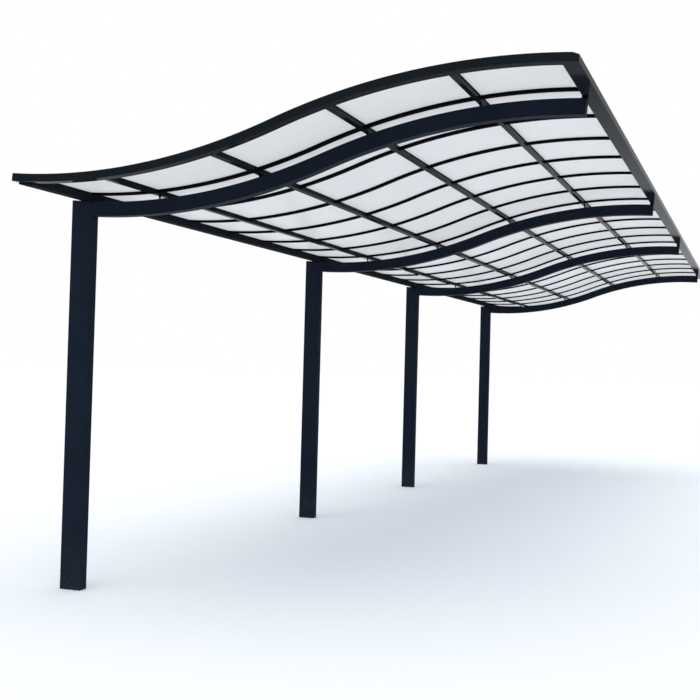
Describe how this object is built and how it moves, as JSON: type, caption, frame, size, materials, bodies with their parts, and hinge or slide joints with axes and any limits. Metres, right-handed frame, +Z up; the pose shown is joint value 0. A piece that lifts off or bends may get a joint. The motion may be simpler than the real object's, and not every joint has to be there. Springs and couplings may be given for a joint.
{
  "type": "carport",
  "caption": "One-sided carport: a row of box posts along one side carries S-curved cantilever beams and a wave-shaped roof of translucent sheets in a dark metal frame.",
  "frame": {"origin": "middle of the first post's foot, at ground level", "axes": "+X from the posts across the parking space, +Y along the carport away from the front fascia, +Z up"},
  "size_m": [3.5271, 10.985, 3.1313],
  "materials": {
    "frame_paint": "satin powder coat, very dark blue-grey",
    "roof_sheet": "milky translucent polycarbonate sheet"
  },
  "bodies": {
    "root": {"post_1": "frame_paint", "cantilever_beam_1": "frame_paint", "seat_blocks_1": "frame_paint", "post_2": "frame_paint", "cantilever_beam_2": "frame_paint", "seat_blocks_2": "frame_paint", "post_3": "frame_paint", "cantilever_beam_3": "frame_paint", "seat_blocks_3": "frame_paint", "post_4": "frame_paint", "cantilever_beam_4": "frame_paint", "seat_blocks_4": "frame_paint", "fascia_front": "frame_paint", "fascia_rear": "frame_paint", "left_rail": "frame_paint", "right_rail": "frame_paint", "purlin_1": "frame_paint", "purlin_2": "frame_paint", "purlin_3": "frame_paint", "purlin_4": "frame_paint", "rib_01": "frame_paint", "rib_02": "frame_paint", "rib_03": "frame_paint", "rib_04": "frame_paint", "rib_05": "frame_paint", "rib_06": "frame_paint", "rib_07": "frame_paint", "rib_08": "frame_paint", "rib_09": "frame_paint", "rib_10": "frame_paint", "rib_11": "frame_paint", "rib_12": "frame_paint", "rib_13": "frame_paint", "rib_14": "frame_paint", "rib_15": "frame_paint", "rib_16": "frame_paint", "rib_17": "frame_paint", "rib_18": "frame_paint", "roof_sheets_1": "roof_sheet", "roof_sheets_2": "roof_sheet", "roof_sheets_3": "roof_sheet", "roof_sheets_4": "roof_sheet", "roof_sheets_5": "roof_sheet"}
  },
  "joints": []
}
